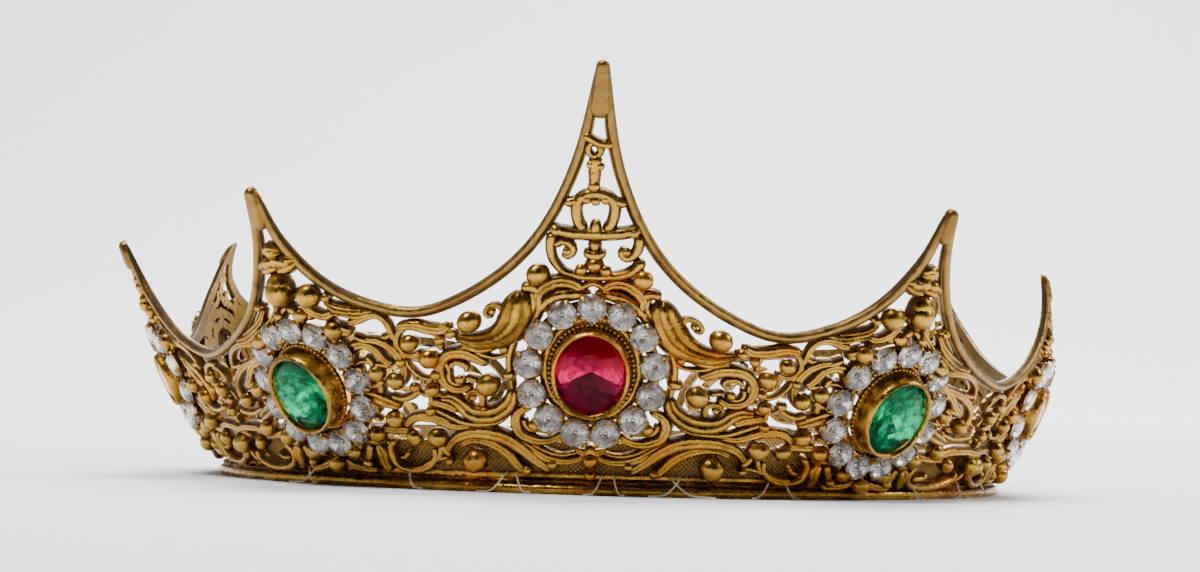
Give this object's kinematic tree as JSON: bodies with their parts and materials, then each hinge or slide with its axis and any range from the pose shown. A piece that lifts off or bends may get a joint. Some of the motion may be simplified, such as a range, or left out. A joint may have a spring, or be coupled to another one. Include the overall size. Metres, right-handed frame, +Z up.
{
  "type": "deity crown",
  "caption": "Small gilt brass openwork crown for a statue, with pointed peaks, oval cut stones in tall bezels ringed by small claw-set stones, and a low open back.",
  "frame": {"origin": "centre of the base ring, in the plane of its flat underside", "axes": "+Z up, -Y towards the front peak, +X to the wearer's left, which is the right seen from the front"},
  "size_m": [0.1446, 0.1412, 0.06],
  "materials": {
    "gilt": "aged gilding, bright on the high places and brown in the recesses",
    "band_gilt": "dull pale gold with a fine woven pattern",
    "ruby_glass": "foiled crimson glass, facet cut and polished",
    "green_glass": "foiled green glass, facet cut and polished",
    "amber_glass": "foiled amber glass, facet cut and polished",
    "blue_glass": "foiled light blue glass, facet cut and polished",
    "clear_paste": "clouded clear paste in gilt claws"
  },
  "bodies": {
    "root": {"gallery": "gilt", "inner_band": "band_gilt", "bezel_left_3": "gilt", "bezel_left_2": "gilt", "bezel_left_1": "gilt", "bezel_front": "gilt", "bezel_right_1": "gilt", "bezel_right_2": "gilt", "bezel_right_3": "gilt", "stone_left_3": "blue_glass", "stone_left_2": "amber_glass", "stone_left_1": "green_glass", "stone_front": "ruby_glass", "stone_right_1": "green_glass", "stone_right_2": "amber_glass", "stone_right_3": "blue_glass", "wreath_left_3": "clear_paste", "wreath_left_2": "clear_paste", "wreath_left_1": "clear_paste", "wreath_front": "clear_paste", "wreath_right_1": "clear_paste", "wreath_right_2": "clear_paste", "wreath_right_3": "clear_paste"}
  },
  "joints": []
}
